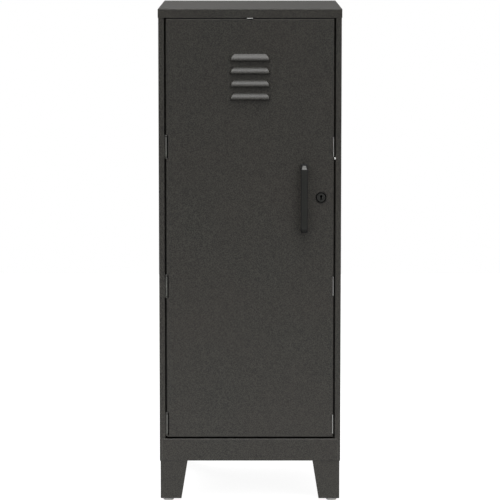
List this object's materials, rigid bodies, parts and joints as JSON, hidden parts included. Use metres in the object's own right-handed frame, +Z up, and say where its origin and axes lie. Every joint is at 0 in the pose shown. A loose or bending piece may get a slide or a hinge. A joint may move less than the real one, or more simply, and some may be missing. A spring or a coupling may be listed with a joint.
{
  "type": "locker cabinet",
  "caption": "Tall steel locker cabinet with a louvred side-hinged door, bow handle, cam lock, shelves and tapered legs on levelling glides.",
  "frame": {"origin": "on the floor below the middle of the box that holds the whole object, handle included", "axes": "+Z up, the door faces -Y, the door's hinges are on the -X side and its lock on the +X side"},
  "size_m": [0.381, 0.4842, 1.0345],
  "materials": {
    "powder_coat": "fine-textured charcoal powder coat",
    "handle_plastic": "matte black moulded plastic",
    "lock_black": "satin black die-cast",
    "zinc_plate": "dull zinc plate",
    "white_nylon": "white nylon",
    "glide_grey": "pale grey nylon"
  },
  "bodies": {
    "cabinet": {"top_cap": "powder_coat", "header_rail": "powder_coat", "side_panel_left": "powder_coat", "side_panel_right": "powder_coat", "back_panel": "powder_coat", "back_rivets": "zinc_plate", "floor_pan": "powder_coat", "front_apron": "powder_coat", "shelf_lower": "powder_coat", "shelf_upper": "powder_coat", "shelf_clips": "zinc_plate", "leg_front_left": "powder_coat", "leg_front_right": "powder_coat", "leg_rear_left": "powder_coat", "leg_rear_right": "powder_coat", "leg_bolts": "zinc_plate", "leg_nuts": "zinc_plate", "glide_nuts": "zinc_plate", "frame_hinge_lower": "powder_coat", "frame_hinge_middle": "powder_coat", "frame_hinge_upper": "powder_coat", "hinge_pin_lower": "zinc_plate", "hinge_pin_middle": "zinc_plate", "hinge_pin_upper": "zinc_plate", "top_bumper": "white_nylon", "side_bumper": "white_nylon"},
    "door": {"door_panel": "powder_coat", "door_stiffener": "powder_coat", "door_hinge_lower": "zinc_plate", "door_hinge_middle": "zinc_plate", "door_hinge_upper": "zinc_plate", "spare_hinge_leaves": "zinc_plate", "door_handle": "handle_plastic", "handle_screws": "zinc_plate", "lock_housing": "lock_black", "lock_nut": "zinc_plate"},
    "lock_core": {"lock_plug": "lock_black", "lock_cam": "zinc_plate", "cam_screw": "zinc_plate"},
    "glide_front_left": {"glide_stud_front_left": "zinc_plate", "glide_pad_front_left": "glide_grey"},
    "glide_front_right": {"glide_stud_front_right": "zinc_plate", "glide_pad_front_right": "glide_grey"},
    "glide_rear_left": {"glide_stud_rear_left": "zinc_plate", "glide_pad_rear_left": "glide_grey"},
    "glide_rear_right": {"glide_stud_rear_right": "zinc_plate", "glide_pad_rear_right": "glide_grey"}
  },
  "joints": [
    {"name": "door_swing", "type": "hinge", "parent": "cabinet", "child": "door", "pos_m": [-0.1741, -0.21195, 0.5755], "axis": [0, 0, -1], "range_deg": [0, 110]},
    {"name": "lock_turn", "type": "hinge", "parent": "door", "child": "lock_core", "pos_m": [0.1478, -0.21405, 0.643], "axis": [0, -1, 0], "range_deg": [0, 90]},
    {"name": "glide_turn_front_left", "type": "hinge", "parent": "cabinet", "child": "glide_front_left", "pos_m": [-0.1717, -0.19615, 0.015], "axis": [0, 0, 1], "continuous": true},
    {"name": "glide_turn_front_right", "type": "hinge", "parent": "cabinet", "child": "glide_front_right", "pos_m": [0.1717, -0.19615, 0.015], "axis": [0, 0, 1], "continuous": true},
    {"name": "glide_turn_rear_left", "type": "hinge", "parent": "cabinet", "child": "glide_rear_left", "pos_m": [-0.1717, 0.22235, 0.015], "axis": [0, 0, 1], "continuous": true},
    {"name": "glide_turn_rear_right", "type": "hinge", "parent": "cabinet", "child": "glide_rear_right", "pos_m": [0.1717, 0.22235, 0.015], "axis": [0, 0, 1], "continuous": true}
  ]
}
